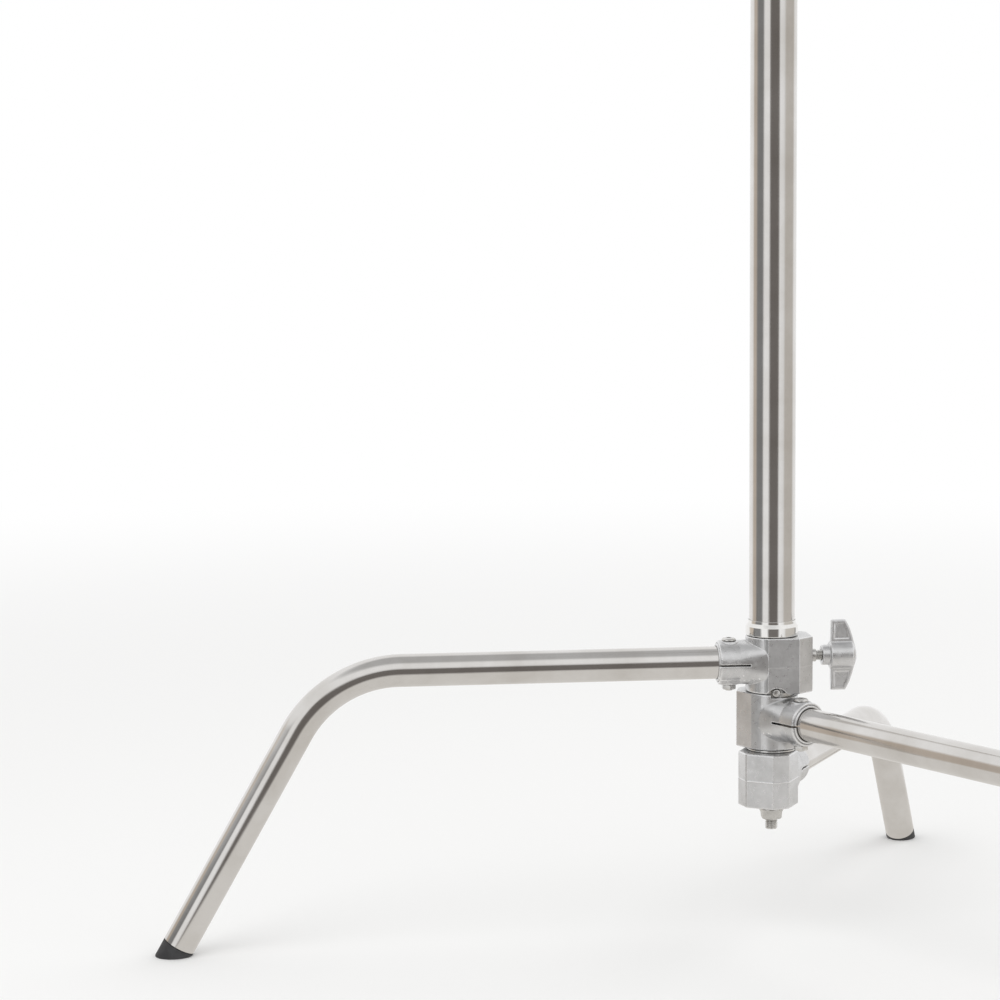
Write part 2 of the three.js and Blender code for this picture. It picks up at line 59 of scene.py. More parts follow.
# STOP_GROOVE is a depth below the mid band, and LOW_GROOVE a rise above the low leg's axis.
STOP_PIN_H, STOP_PIN_R, STOP_GROOVE = 192.9, 3.4, 2.6
LOW_PIN_H, LOW_PIN_R, LOW_GROOVE = 140.5, 2, 10.9
PIN_GAP, GROOVE_GAP = 0.3, 0.5
STUD_R, STUD_TOP, WASHER_R, WASHER = 4.8, 104, 19.3, (146.7, 147.9)
POST_R, POST_BORE, POST_BASE, POST_FLOOR, POST_TOP = 16.5, 14.4, 111, 118, 233.6
KNOB_H, KNOB_HOLE_R = 218.4, 4.5
# Along a knob from the face that it turns against, and half the wings' span.
KNOB_NECK, KNOB_BARREL, KNOB_END, WING = 9, 15, 36.2, 27.2
SCREW_R, SCREW_PITCH, SCREW_DEPTH = 4, 1.25, 0.6
SHOE_GAP, SHOE_THICK, SCREW_GAP, BASE_GRIP = 0.35, 4.2, 0.3, 14
COLUMN_R, RISER_1_R, RISER_2_R, WALL = 17.5, 15, 12.5, 1.5
COLUMN, RISER_1, RISER_2 = (239.4, 1168), (300.4, 1226), (340.4, 1300)
CLAMP_FACE, GRUB_RISE, GRUB_HOLE_R = 12.2, 9, 2.3
# Each clamp's lower edge, seat on the tube below, upper edge and knob's axis.
COLUMN_CLAMP, RISER_CLAMP = (1136, 1168.4, 1200.6, 1184), (1201, 1226.4, 1259, 1242.5)
# The grid steps that the castings are built with.
COLLAR_STEP, WING_STEP, CLAMP_STEP = 0.4, 0.36, 0.45
FINE_RING, COARSE_RING, LEG_RING = 96, 48, 72

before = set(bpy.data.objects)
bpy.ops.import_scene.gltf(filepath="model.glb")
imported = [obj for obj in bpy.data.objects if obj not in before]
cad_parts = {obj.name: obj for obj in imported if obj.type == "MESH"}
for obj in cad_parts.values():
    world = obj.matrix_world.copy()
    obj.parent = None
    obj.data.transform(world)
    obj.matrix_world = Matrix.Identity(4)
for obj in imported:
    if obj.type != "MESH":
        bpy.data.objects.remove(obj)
CAD_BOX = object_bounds()
GROUND = CAD_BOX[0].z
MATERIALS = {}


# ---------- mesh helpers ----------
def place(azimuth, height):
    """Millimetres in a piece's own frame to metres in the row frame."""
    lift = Matrix.Translation((0, 0, (height - STUD_END) * MM))
    return lift @ Matrix.Rotation(rad(azimuth), 4, "Z") @ Matrix.Scale(MM, 4)


def add_piece(name, verts, faces, matrix, body, slot, nodes, uvs=None, crease=35):
    """A mesh that rides on a body and stands for CAD nodes. Edges past crease degrees stay sharp."""
    mesh = bpy.data.meshes.new(name)
    mesh.from_pydata([tuple(v) for v in verts], [], faces)
    if uvs is not None:
        layer = mesh.uv_layers.new(name="UVMap")
        corners = np.empty(len(mesh.loops), np.int32)
        mesh.loops.foreach_get("vertex_index", corners)
        flat = np.asarray(uvs, float)[corners]
        seam_fix(flat, mesh)
        layer.data.foreach_set("uv", flat.ravel())
    mesh.transform(matrix)
    mesh.validate()
    mesh.polygons.foreach_set("use_smooth", [True] * len(mesh.polygons))
    if crease:
        mesh.set_sharp_from_angle(angle=rad(crease))
    mesh.materials.append(MATERIALS[slot])
    obj = bpy.data.objects.new(name, mesh)
    bpy.context.scene.collection.objects.link(obj)
    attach(obj, body)
    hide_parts(*nodes)
    return obj


def seam_fix(flat, mesh):
    """Faces that cross u = 1 take the far side's u beyond 1."""
    starts = np.empty(len(mesh.polygons), np.int32)
    mesh.polygons.foreach_get("loop_start", starts)
    totals = np.empty(len(mesh.polygons), np.int32)
    mesh.polygons.foreach_get("loop_total", totals)
    owner = np.repeat(np.arange(len(starts)), totals)
    high = np.zeros(len(starts))
    np.maximum.at(high, owner, flat[:, 0])
    low_side = (high[owner] > 0.75) & (flat[:, 0] < 0.25)
    flat[low_side, 0] += 1


def loft(rings, closed=True):
    """Quads between rings of equal length. closed joins the last ring to the first; an open loft
    gets a fan at each end. Returns vertices and faces."""
    n = len(rings[0])
    verts = np.concatenate(rings)
    count = len(rings)
    k = np.arange(n)
    following = (k + 1) % n
    faces = []
    for i in range(count if closed else count - 1):
        a, b = i * n, ((i + 1) % count) * n
        faces += np.stack([a + k, a + following, b + following, b + k], 1).tolist()
    if not closed:
        centres = [rings[0].mean(0), rings[-1].mean(0)]
        verts = np.concatenate([verts, centres])
        last = (count - 1) * n
        faces += [[count * n, int(j), int(i)] for i, j in zip(k, following)]
        faces += [[count * n + 1, last + int(i), last + int(j)] for i, j in zip(k, following)]
    return verts, faces


def loft_piece(name, rings, closed, matrix, body, slot, nodes, uvs=None, crease=35):
    verts, faces = loft(rings, closed)
    return add_piece(name, verts, faces, matrix, body, slot, nodes, uvs, crease)


def hex_radius(across, angles):
    """The radius of a hexagon, across half its flats, at each angle."""
    return across / np.cos((angles + rad(30)) % rad(60) - rad(30))


def fillet(points, radius, closed=False):
    """Rounds the corners of a profile of (r, z) points. Hexagon points and blunt corners stay."""
    out = []
    count, steps = len(points), 4
    for i, here in enumerate(points):
        before, after = points[i - 1], points[(i + 1) % count]
        ends = not closed and i in (0, count - 1)
        p = np.array(here[:2], float)
        a, b = np.array(before[:2], float) - p, np.array(after[:2], float) - p
        la, lb = np.linalg.norm(a), np.linalg.norm(b)
        if ends or len(here) > 2 or la < 1e-6 or lb < 1e-6:
            out.append(here)
            continue
        a, b = a / la, b / lb
        angle = math.acos(max(-1, min(1, float(a @ b))))
        if angle > rad(172):
            out.append(here)
            continue
        cut = min(radius / math.tan(angle / 2), 0.45 * la, 0.45 * lb)
        for s in range(steps + 1):
            t = s / steps
            q = (1 - t) ** 2 * (p + a * cut) + 2 * t * (1 - t) * p + t * t * (p + b * cut)
            out.append((float(q[0]), float(q[1])))
    return out


def revolve(points, segments=FINE_RING):
    """Rings about Z for a profile of (r, z) points, or (r, z, "hex") with r across half the flats.
    A fourth value turns the hexagon's corners down to that radius."""
    angles = np.arange(segments) * math.tau / segments
    rings = []
    for point in points:
        r = np.full(segments, point[0], float)
        if len(point) > 2:
            r = np.minimum(hex_radius(point[0], angles), point[3] if len(point) > 3 else 1e9)
        rings.append(np.stack([r * np.cos(angles), r * np.sin(angles),
                               np.full(segments, point[1], float)], 1))
    return rings


def ring_uvs(rings, closed):
    """u round the axis, v along the profile in metres."""
    n = len(rings[0])
    run = [0.0]
    for a, b in zip(rings, rings[1:]):
        run.append(run[-1] + float(np.linalg.norm(b - a, axis=1).mean()) * MM)
    uvs = np.stack([np.tile(np.arange(n) / n, len(rings)), np.repeat(run, n)], 1)
    return uvs if closed else np.concatenate([uvs, [[0.5, 0], [0.5, run[-1]]]])


def along_x(rings):
    """Rings made about Z, turned to lie about X."""
    turn = np.array(Matrix.Rotation(rad(90), 3, "Y").transposed())
    return [ring @ turn for ring in rings]


def lathe(name, points, matrix, body, slot, nodes, closed=False, soft=0.3, lying=False):
    """A turned piece whose profile's corners are rounded by soft. A lying one has its axis along X."""
    rings = revolve(fillet(points, soft, closed) if soft else points)
    if lying:
        rings = along_x(rings)
    return loft_piece(name, rings, closed, matrix, body, slot, nodes, ring_uvs(rings, closed))


def threaded(low, high, radius, pitch, depth, lead):
    """Rings of a right-hand thread from low to high along Z. It fades out over lead at both ends,
    and its low end is chamfered."""
    segments = COARSE_RING
    angles = np.arange(segments) * math.tau / segments
    steps = max(8, int((high - low) / pitch * 10))
    rings = []
    for i in range(steps + 1):
        z = low + (high - low) * i / steps
        phase = (z / pitch - angles / math.tau) % 1
        wave = np.abs(phase * 2 - 1)
        fade = min(1, (z - low) / lead, (high - z) / lead)
        r = radius - depth * (1 - np.clip(wave * 1.25, 0, 1)) * fade - 0.5 * max(0, 1 - (z - low))
        rings.append(np.stack([r * np.cos(angles), r * np.sin(angles), np.full(segments, z)], 1))
    return rings


# ---------- solids from distance fields, for die castings ----------
def smooth_min(a, b, r):
    """The nearer of two distances, blended where they differ by less than r."""
    h = np.clip(r - np.abs(a - b), 0, None) / r
    return np.minimum(a, b) - h * h * r / 4


def cut(a, b, r):
    """Solid a without solid b."""
    return -smooth_min(-a, b, r)


def slab_round(flat, height, r):
    """A flat outline's distance and a height distance joined with rounded edges."""
    a, b = flat + r, height + r
    return np.hypot(np.maximum(a, 0), np.maximum(b, 0)) + np.minimum(np.maximum(a, b), 0) - r


def band(z, low, high):
    """Distance to the layer between two heights."""
    return np.maximum(low - z, z - high)


def polygon(x, y, points):
    """Signed distance to a closed outline."""
    best = np.full(x.shape, 1e9)
    sign = np.ones(x.shape)
    for (ax, ay), (bx, by) in zip(points, points[1:] + points[:1]):
        ex, ey = bx - ax, by - ay
        wx, wy = x - ax, y - ay
        t = np.clip((wx * ex + wy * ey) / (ex * ex + ey * ey), 0, 1)
        best = np.minimum(best, (wx - ex * t) ** 2 + (wy - ey * t) ** 2)
        c1, c2, c3 = y >= ay, y < by, ex * wy > ey * wx
        sign = np.where((c1 & c2 & c3) | (~c1 & ~c2 & ~c3), -sign, sign)
    return sign * np.sqrt(best)


def surface_net(field, low, high, step):
    """Vertices and quads of the field's zero surface: one vertex in each crossed cell."""
    counts = [int(math.ceil((h - l) / step)) + 1 for l, h in zip(low, high)]
    axes = [l + step * np.arange(c) for l, c in zip(low, counts)]
    grid = field(*np.meshgrid(*axes, indexing="ij"))
    cells = tuple(c - 1 for c in counts)
    total = np.zeros(cells + (3,))
    hits = np.zeros(cells)
    crossed = []
    for axis in range(3):
        a = np.moveaxis(grid, axis, 0)[:-1]
        b = np.moveaxis(grid, axis, 0)[1:]
        cross = (a < 0) != (b < 0)
        at = np.argwhere(cross)
        share = (a[cross] / (a[cross] - b[cross]))
        others = [i for i in range(3) if i != axis]
        index = np.empty((len(at), 3), int)
        index[:, axis] = at[:, 0]
        index[:, others[0]] = at[:, 1]
        index[:, others[1]] = at[:, 2]
        inner = np.all((index > 0) & (index < np.array(counts) - 1), axis=1)
        index, share = index[inner], share[inner]
        outward = (a[cross] < 0)[inner]
        point = index.astype(float)
        point[:, axis] += share
        for i in (0, 1):
            for j in (0, 1):
                cell = index.copy()
                cell[:, others[0]] -= i
                cell[:, others[1]] -= j
                key = (cell[:, 0], cell[:, 1], cell[:, 2])
                np.add.at(total, key, point)
                np.add.at(hits, key, 1)
        crossed.append((axis, others, index, outward))
    number = np.full(cells, -1)
    used = hits > 0
    number[used] = np.arange(used.sum())
    verts = total[used] / hits[used][:, None] * step + np.array(low)
    faces = []
    for axis, others, index, outward in crossed:
        corners = []
        for i, j in ((1, 1), (0, 1), (0, 0), (1, 0)):
            cell = index.copy()
            cell[:, others[0]] -= i
            cell[:, others[1]] -= j
            corners.append(number[cell[:, 0], cell[:, 1], cell[:, 2]])
        quads = np.stack(corners, 1)
        flip = outward if axis == 1 else ~outward
        quads[flip] = quads[flip][:, ::-1]
        faces.append(quads)
    probe, passes = 0.05, 2
    for _ in range(passes):
        x, y, z = verts.T
        value = field(x, y, z)
        slope = np.stack([field(x + probe, y, z) - field(x - probe, y, z),
                          field(x, y + probe, z) - field(x, y - probe, z),
                          field(x, y, z + probe) - field(x, y, z - probe)], 1) / (2 * probe)
        size = np.maximum((slope ** 2).sum(1), 0.2)
        move = -slope * (value / size)[:, None]
        verts = verts + np.clip(move, -step / 2, step / 2)
    return verts, np.concatenate(faces).tolist()


def cast_piece(name, field, low, high, step, matrix, body, nodes):
    verts, faces = surface_net(field, low, high, step)
    return add_piece(name, verts, faces, matrix, body, "cast_metal", nodes, crease=None)


def leg_casting(low, high, face, ridge, sides, extra):
    """A hub on the post with a split socket for a leg along X. face is how far back the hub reaches
    and ridge how far its parting line stands out. sides gives where its flat sides end and half the
    width of the socket's root. extra cuts what this casting alone has."""
    flat, root = sides
    plan = [(9, 18), (flat, HUB_HALF), (-17.5, HUB_HALF), (-face, 11), (-face, -11),
            (-17.5, -HUB_HALF), (flat, -HUB_HALF), (9, -18)]

    def field(x, y, z):
        seam = ridge * np.clip(1 - np.abs(z + RIDGE_DROP) / RIDGE_HALF, 0, 1)
        height = band(z, low, high)
        hub = slab_round(polygon(x, y, plan) - seam, height, 1.0)
        hub = smooth_min(hub, slab_round(np.hypot(x, y) - HUB_R, height, 1.2), 0.5)
        u = x * math.cos(DROOP) - z * math.sin(DROOP)
        w = x * math.sin(DROOP) + z * math.cos(DROOP)
        rho = np.hypot(y, w)
        wide = np.interp(u, [7, 27], [root, SOCKET_R])
        square = np.interp(u, [7, 27], [3.4, 2])
        ratio = (np.abs(y / wide) ** square + np.abs(w / SOCKET_R) ** square) ** (1 / square)
        socket = slab_round((ratio - 1) * SOCKET_R, np.maximum(u - SOCKET_MOUTH, -u), 1.1)
        at = np.hypot(u - BOLT_AT, y)
        boss = slab_round(at - BOSS_R, np.abs(w) - BOSS_TOP, 0.8)
        lip = slab_round(rho - LIP_R, np.maximum(u - SOCKET_MOUTH - LIP, 30 - u), 0.5)
        moat = np.maximum(np.abs(rho - LIP_R - 0.5) - 0.25, SOCKET_MOUTH - 0.5 - u)
        socket = cut(np.minimum(socket, lip), moat, 0.2)
        body = smooth_min(hub, smooth_min(socket, boss, 1.2), 0.25)
        body = cut(body, np.hypot(x, y) - HUB_BORE, 0.8)
        tube = np.maximum(rho - LEG_R - 0.3, SOCKET_FLOOR - u)
        body = cut(body, tube, 0.5)
        body = cut(body, at - BOLT_HOLE_R, 0.3)
        slit = np.maximum(np.abs(w) - SLIT_HALF, SLIT_START - u)
        body = cut(body, np.minimum(slit, np.hypot(u - SLIT_START, w) - SLIT_HALF), 0.2)
        return extra(body, x, y, z)

    return field


def swing_groove(x, y, z, start, end, outer, low):
    """A groove about the post, open upwards, between two angles."""
    angle = np.degrees(np.arctan2(y, x))
    half = (end - start) / 2
    off = np.abs((angle - (start + end) / 2 + 180) % 360 - 180) - half
    radius = np.hypot(x, y)
    return np.maximum(np.maximum(radius - outer, low - z), off * rad(1) * radius)


def pin_margin(radius):
    """Degrees of the hub's bore that a stop pin takes up on each side of its centre."""
    return math.degrees(math.asin((radius + GROOVE_GAP) / HUB_BORE))


def high_extra(body, x, y, z):
    """An arch in the lower edge of one side, and the knob screw's hole opposite the leg."""
    arch = np.maximum(np.hypot(x, z - (TOP_BAND[0] - HIGH - 4)) - 8.7, HUB_BORE - 2 - y)
    hole = np.maximum(np.hypot(y, z - (KNOB_H - HIGH)) - KNOB_HOLE_R, x + 10)
    return cut(cut(body, arch, 0.6), hole, 0.5)


def mid_extra(body, x, y, z):
    """The upper stop pin's groove, open through the wall."""
    centre, margin = PIN_AZ - MID_AZ, pin_margin(STOP_PIN_R)
    groove = swing_groove(x, y, z, centre - margin, centre + MID_SWING + margin, 40,
                          MID_BAND[1] - MID - STOP_GROOVE)
    return cut(body, groove, 0.3)


def low_extra(body, x, y, z):
    """A floor with the stud's hole, a shallow line down one corner of the face, and the lower stop
    pin's groove."""
    floor = np.maximum(np.hypot(x, y) - HUB_BORE - 1, band(z, LOW_BAND[0] - LOW + 0.2, 110.4 - LOW))
    body = cut(np.minimum(body, floor), np.maximum(np.hypot(x, y) - 5.3, z), 0.3)
    body = cut(body, np.hypot(x + FACE, y - 11.2) - 0.75, 0.2)
    centre, margin = PIN_AZ - LOW_AZ, pin_margin(LOW_PIN_R)
    groove = swing_groove(x, y, z, centre - LOW_SWING - margin, centre + margin, HUB_BORE + 2,
                          LOW_GROOVE)
    return cut(body, groove, 0.3)


def wing_field(x, y, z):
    """A knob of two flat wings on a barrel along X, with a hollow panel in each wing's faces."""
    rho = np.hypot(y, z)
    neck = slab_round(rho - 7.7, band(x, KNOB_NECK, 24), 0.9)
    dome = KNOB_END - 0.0275 * rho ** 2
    barrel = slab_round(rho - 10.2, np.maximum(KNOB_BARREL - x, x - dome), 1.6)
    side = np.abs(z)
    outline = [(15.9, -2), (16.4, WING), (27.6, WING), (30.6, 21.5), (33, 14.5), (34.6, 7.5), (35.3, -2)]
    half = 3.1 - 0.03 * side + 0.5 * np.clip(1 - side / 14, 0, 1)
    blade = slab_round(polygon(x, side, outline), np.abs(y) - half, 1.3)
    panel = slab_round(polygon(x, side, [(18.8, 13), (19.2, 24.2), (26, 24.2), (29.4, 16),
                                         (30.2, 13)]), 2.35 - np.abs(y), 0.4)
    body = smooth_min(smooth_min(neck, barrel, 0.8), cut(blade, panel, 0.7), 1.1)
    bore = np.maximum(rho - 4.3, x - KNOB_BARREL - 11)
    return cut(body, bore, 0.4)


def clamp_field(low, seat, high, knob, below, above):
    """A sleeve on the tube below that narrows to the tube above, with a block for the knob's screw."""
    outer, neck = below + 4.6, above + 5.4
    face = neck + 6.8
    reach = min(14, high - knob - 1)
    lug = [(0, neck - 1.5), (face - 7, neck - 1.5), (face, 10), (face, -10), (face - 7, 1.5 - neck),
           (0, 1.5 - neck)]

    def field(x, y, z):
        rho = np.hypot(x, y)
        wide = np.interp(z, [low, seat - 6, seat - 1, high], [outer, outer, neck, neck])
        body = slab_round(rho - wide, band(z, low, high), 1.3)
        rim = slab_round(rho - outer - 0.9, band(z, low, low + 5), 0.9)
        block = slab_round(polygon(x, y, lug), np.abs(z - knob) - reach, 1.2)
        body = smooth_min(smooth_min(body, rim, 0.8), block, 2)
        bore = np.minimum(np.maximum(rho - below - 0.3, z - seat), rho - above - 0.35)
        body = cut(body, bore, 0.7)
        body = cut(body, np.maximum(np.hypot(y, z - knob) - KNOB_HOLE_R, 8 - x), 0.5)
        return cut(body, np.maximum(np.hypot(y, z - low - GRUB_RISE) - GRUB_HOLE_R, 8 + x), 0.3)

    return field


# ---------- materials ----------
def node(tree, kind, **values):
    """A shader node. A value named in_Some_Input sets that input, and any other sets a property."""
    made = tree.nodes.new(kind)
    for key, value in values.items():
        if key.startswith("in_"):
            made.inputs[key[3:].replace("_", " ")].default_value = value
        else:
            setattr(made, key, value)
    return made


def link(tree, source, output, target, socket):
    tree.links.new(source.outputs[output], target.inputs[socket])


def noise(tree, coords, scale, detail=3, rough=0.55, stretch=(1, 1, 1), socket="Object"):
    mapping = node(tree, "ShaderNodeMapping")
    mapping.inputs["Scale"].default_value = stretch
    link(tree, coords, socket, mapping, "Vector")
    made = node(tree, "ShaderNodeTexNoise", in_Scale=scale, in_Detail=detail, in_Roughness=rough)
    link(tree, mapping, "Vector", made, "Vector")
    return made


def ramp(tree, source, stops, output="Fac"):
    made = node(tree, "ShaderNodeValToRGB")
    while len(made.color_ramp.elements) < len(stops):
        made.color_ramp.elements.new(0.5)
    for element, (at, colour) in zip(made.color_ramp.elements, stops):
        element.position = at
        element.color = (*colour, 1)
    link(tree, source, output, made, "Fac")
    return made


def grey(v):
    return (v, v, v)


def new_material(name, metallic, roughness, colour):
    made = bpy.data.materials.new(name)
    made.use_nodes = True
    tree = made.node_tree
    tree.nodes.clear()
    out = node(tree, "ShaderNodeOutputMaterial")
    shader = node(tree, "ShaderNodeBsdfPrincipled", in_Metallic=metallic, in_Roughness=roughness)
    shader.inputs["Base Color"].default_value = (*colour, 1)
    link(tree, shader, "BSDF", out, "Surface")
    coords = node(tree, "ShaderNodeTexCoord")
    MATERIALS[name] = made
    return tree, shader, coords


def bump(tree, shader, height, strength, distance, before=None):
    made = node(tree, "ShaderNodeBump", in_Strength=strength, in_Distance=distance)
    link(tree, height, "Fac", made, "Height")
    if before is not None:
        link(tree, before, "Normal", made, "Normal")
    link(tree, made, "Normal", shader, "Normal")
    return made


def tube_steel():
    """Polished stainless tube: fine lines along its length, faint clouding and finger marks."""
    tree, shader, coords = new_material("tube_steel", 1, 0.2, (0.7, 0.68, 0.655))
    lines = noise(tree, coords, 1, 4, 0.6, (420, 5, 1), "UV")
    wide = noise(tree, coords, 1, 2, 0.5, (60, 1.6, 1), "UV")
    cloud = noise(tree, coords, 22, 4, 0.6)
    colour = ramp(tree, cloud, [(0.32, (0.62, 0.6, 0.575)), (0.62, (0.71, 0.695, 0.68))])
    link(tree, colour, "Color", shader, "Base Color")
    mix = node(tree, "ShaderNodeMix", data_type="FLOAT")
    mix.inputs[0].default_value = 0.4
    tree.links.new(lines.outputs["Fac"], mix.inputs[2])
    tree.links.new(cloud.outputs["Fac"], mix.inputs[3])
    level = node(tree, "ShaderNodeMapRange", in_To_Min=0.05, in_To_Max=0.2)
    tree.links.new(mix.outputs[0], level.inputs["Value"])
    link(tree, level, "Result", shader, "Roughness")
    first = bump(tree, shader, lines, 0.1, 0.00005)
    bump(tree, shader, wide, 0.12, 0.00025, first)


def cast_metal():
    """Tumbled die casting: satin, gritty, painted shade in creases; edges smoother and painted lighter,
    part wear, part painted highlight.
    """
    tree, shader, coords = new_material("cast_metal", 0.92, 0.4, (0.66, 0.67, 0.685))
    grit = noise(tree, coords, 900, 3, 0.65)
    pits = noise(tree, coords, 330, 2, 0.5)
    cloud = noise(tree, coords, 55, 4, 0.6)
    geometry = node(tree, "ShaderNodeNewGeometry")
    # Pointiness finds the edges; they are painted lighter, part rubbed wear, part painted highlight.
    edge = ramp(tree, geometry, [(0.50, grey(0)), (0.56, grey(1))], "Pointiness")
    base = ramp(tree, cloud, [(0.3, grey(0.56)), (0.65, (0.7, 0.7, 0.705))])
    rubbed_and_highlit = node(tree, "ShaderNodeMix", data_type="RGBA")
    rubbed_and_highlit.inputs[7].default_value = (0.92, 0.92, 0.925, 1)
    tree.links.new(edge.outputs["Color"], rubbed_and_highlit.inputs[0])
    tree.links.new(base.outputs["Color"], rubbed_and_highlit.inputs[6])
    # Painted shade: ambient occlusion darkens the colour in creases, hollows and between parts.
    crevice = node(tree, "ShaderNodeAmbientOcclusion", samples=8, in_Distance=0.006)
    shade = ramp(tree, crevice, [(0.12, grey(0.42)), (0.72, grey(1))], "AO")
    painted_crevice_shade = node(tree, "ShaderNodeMix", data_type="RGBA", blend_type="MULTIPLY")
    painted_crevice_shade.inputs[0].default_value = 1
    tree.links.new(rubbed_and_highlit.outputs[2], painted_crevice_shade.inputs[6])
    tree.links.new(shade.outputs["Color"], painted_crevice_shade.inputs[7])
    tree.links.new(painted_crevice_shade.outputs[2], shader.inputs["Base Color"])
    level = node(tree, "ShaderNodeMapRange", in_From_Min=0.3, in_From_Max=0.7, in_To_Min=0.26,
                 in_To_Max=0.38)
    tree.links.new(pits.outputs["Fac"], level.inputs["Value"])
    smoother = node(tree, "ShaderNodeMix", data_type="FLOAT")
    smoother.inputs[3].default_value = 0.22
    tree.links.new(edge.outputs["Color"], smoother.inputs[0])
    tree.links.new(level.outputs["Result"], smoother.inputs[2])
    tree.links.new(smoother.outputs[0], shader.inputs["Roughness"])
    first = bump(tree, shader, grit, 0.35, 0.00015)
    bump(tree, shader, pits, 0.09, 0.0003, first)


def plain_metal(name, colour, roughness, scratch, dark=0.75):
    """Turned or plated metal: fine scratches and slight stains."""
    tree, shader, coords = new_material(name, 1, roughness, colour)
    fine = noise(tree, coords, 700, 4, 0.7, (1, 1, 4))
    cloud = noise(tree, coords, 90, 4, 0.6)
    stained = tuple(c * dark for c in colour)
    tone = ramp(tree, cloud, [(0.3, stained), (0.6, colour)])
    link(tree, tone, "Color", shader, "Base Color")
    level = node(tree, "ShaderNodeMapRange", in_To_Min=roughness * 0.6, in_To_Max=roughness * 1.5)
    link(tree, fine, "Fac", level, "Value")
    link(tree, level, "Result", shader, "Roughness")
    bump(tree, shader, fine, scratch, 0.00006)


def soft_black(name, colour, roughness, grain):
    """Moulded rubber or nylon: a fine grain, dust in patches."""
    tree, shader, coords = new_material(name, 0, roughness, colour)
    fine = noise(tree, coords, grain, 3, 0.6)
    dust = noise(tree, coords, 60, 4, 0.65)
    dusty = tuple(c * 1.8 + 0.012 for c in colour)
    tone = ramp(tree, dust, [(0.42, colour), (0.78, dusty)])
    link(tree, tone, "Color", shader, "Base Color")
    level = node(tree, "ShaderNodeMapRange", in_To_Min=roughness - 0.12, in_To_Max=roughness + 0.15)
    link(tree, fine, "Fac", level, "Value")
    link(tree, level, "Result", shader, "Roughness")
    bump(tree, shader, fine, 0.3, 0.0002)


tube_steel()
cast_metal()
plain_metal("chrome", (0.83, 0.82, 0.8), 0.09, 0.05, 0.93)
plain_metal("bolt_steel", (0.7, 0.69, 0.67), 0.26, 0.2)
plain_metal("brass", (0.72, 0.56, 0.3), 0.3, 0.2)
soft_black("rubber", (0.03, 0.03, 0.032), 0.62, 1400)
soft_black("nylon", (0.03, 0.03, 0.032), 0.45, 900)


# ---------- the legs ----------
def leg_line(height, reach):
    """Points and turning angles of a leg's axis in its own frame, in millimetres."""
    knee_x = (reach * math.tan(SLOPE) - height) / (math.tan(SLOPE) - math.tan(DROOP))
    knee = np.array([knee_x, 0, -knee_x * math.tan(DROOP)])
    level = np.array([math.cos(DROOP), 0, -math.sin(DROOP)])
    down = np.array([math.cos(SLOPE), 0, -math.sin(SLOPE)])
    tangent = BEND_R * math.tan((SLOPE - DROOP) / 2)
    start, bend_start = level * (SOCKET_FLOOR + 0.6), knee - level * tangent
    bend_end = knee + down * tangent
    lift = (RUBBER + LEG_R * math.cos(SLOPE)) / math.sin(SLOPE)
    end = np.array([reach, 0, -height]) - down * lift
    centre = bend_start + BEND_R * np.array([-math.sin(DROOP), 0, -math.cos(DROOP)])
    upper = [start + (bend_start - start) * t for t in np.linspace(0, 1, 12)[:-1]]
    turns = np.linspace(DROOP, SLOPE, 40)
    bend = [centre + BEND_R * np.array([math.sin(a), 0, math.cos(a)]) for a in turns]
    lower = [bend_end + (end - bend_end) * t for t in np.linspace(0, 1, 10)[1:]]
    return upper + bend + lower, [DROOP] * len(upper) + list(turns) + [SLOPE] * len(lower)


def ring_at(point, angle, radius, flatten=0):
    """A ring across a leg that runs down at an angle, flattened in the plane of the bend."""
    t = np.arange(LEG_RING) * math.tau / LEG_RING
    normal = np.array([math.sin(angle), 0, math.cos(angle)])
    side = np.array([0, 1, 0])
    across = radius * (1 - flatten)
    return point + np.outer(np.cos(t) * across, normal) + np.outer(np.sin(t) * radius, side)


def leg_piece(prefix, height, azimuth, body):
    points, angles = leg_line(height, REACH[prefix])
    squeeze = [0.03 * math.sin(math.pi * min(1, max(0, (a - DROOP) / (SLOPE - DROOP)))) for a in angles]
    outer = [ring_at(p, a, LEG_R, s) for p, a, s in zip(points, angles, squeeze)]
    inner = [ring_at(p, a, LEG_R - LEG_WALL, s) for p, a, s in zip(points, angles, squeeze)]
    level, down = points[1] - points[0], points[-1] - points[-2]
    level, down = level / np.linalg.norm(level), down / np.linalg.norm(down)
    rings = [ring_at(points[0], DROOP, LEG_R - 0.4), outer[0] + level * 0.4] + outer[1:-1]
    rings += [outer[-1] - down * 0.35, ring_at(points[-1], SLOPE, LEG_R - 0.3)] + inner[::-1]
    loft_piece(f"{prefix}_leg_look", rings, True, place(azimuth, height), body, "tube_steel",
               [f"{prefix}_leg"], ring_uvs(rings, True), 40)
    foot_piece(prefix, height, azimuth, body, points[-1], down)


def foot_piece(prefix, height, azimuth, body, end, down):
    """A rubber wedge with a moulded lip and a ribbed sole, plugged into the tube."""
    plug = [ring_at(end + down * s, SLOPE, r) for s, r in
            ((-16, 6), (-16, 9.4), (-14.5, 10.6), (0.3, 10.7), (0.3, 12.1), (0.55, 12.45))]
    top = ring_at(end + down * 0.6, SLOPE, LEG_R)
    floor = -height
    sole = top + np.outer((floor - top[:, 2]) / down[2], down)
    centre = sole.mean(0)
    rings = plug + [top]
    for share in (0.35, 0.7):
        rings.append(top + (sole - top) * share)
    drop = np.minimum(0.9, (top[:, 2] - floor) * 0.6)
    rings.append(sole + np.outer(drop / down[2], down))
    rings.append(centre + (sole - centre) * 0.975)
    for k in range(6):
        share = 0.9 - 0.15 * k
        inset = centre + (sole - centre) * share
        groove = inset.copy()
        groove[:, 2] += 0.5 if k % 2 else 0
        rings.append(groove)
    loft_piece(f"{prefix}_foot_look", rings, False, place(azimuth, height), body, "rubber",
               [f"{prefix}_leg_foot"], None, 40)


